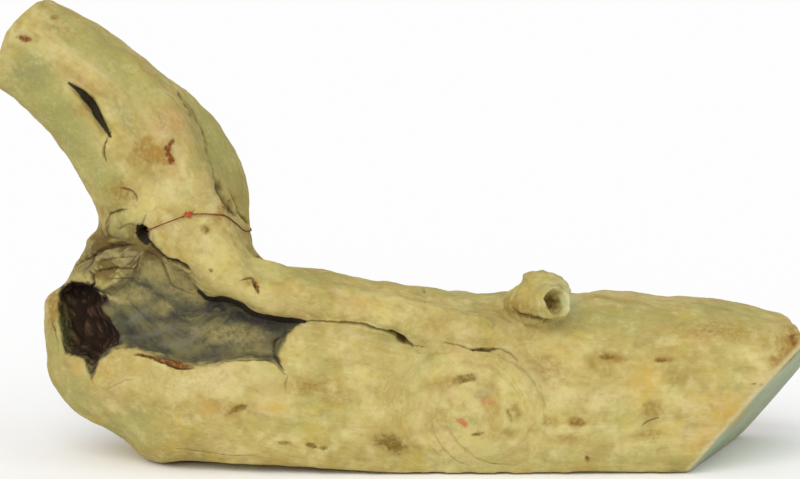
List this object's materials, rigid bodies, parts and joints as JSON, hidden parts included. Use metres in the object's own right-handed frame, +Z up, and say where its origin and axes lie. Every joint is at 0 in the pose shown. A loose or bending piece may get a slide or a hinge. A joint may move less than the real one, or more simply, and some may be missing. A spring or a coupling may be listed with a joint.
{
  "type": "piece of driftwood",
  "caption": "Weathered driftwood branch: a thick low trunk with a rising limb at one end, a rot-hollowed recess, a branch stub, and a thread tied round the limb's neck.",
  "frame": {"origin": "bottom centre of the bounding box, on the surface the piece lies on", "axes": "+X along the trunk towards its sawn end, +Y to the back, +Z up"},
  "size_m": [0.4118, 0.1128, 0.2293],
  "materials": {
    "weathered_wood": "dry, bark-free and sun-bleached, matt",
    "thread": "twisted red-brown thread, matt"
  },
  "bodies": {
    "root": {"driftwood": "weathered_wood", "tie_thread": "thread"}
  },
  "joints": []
}
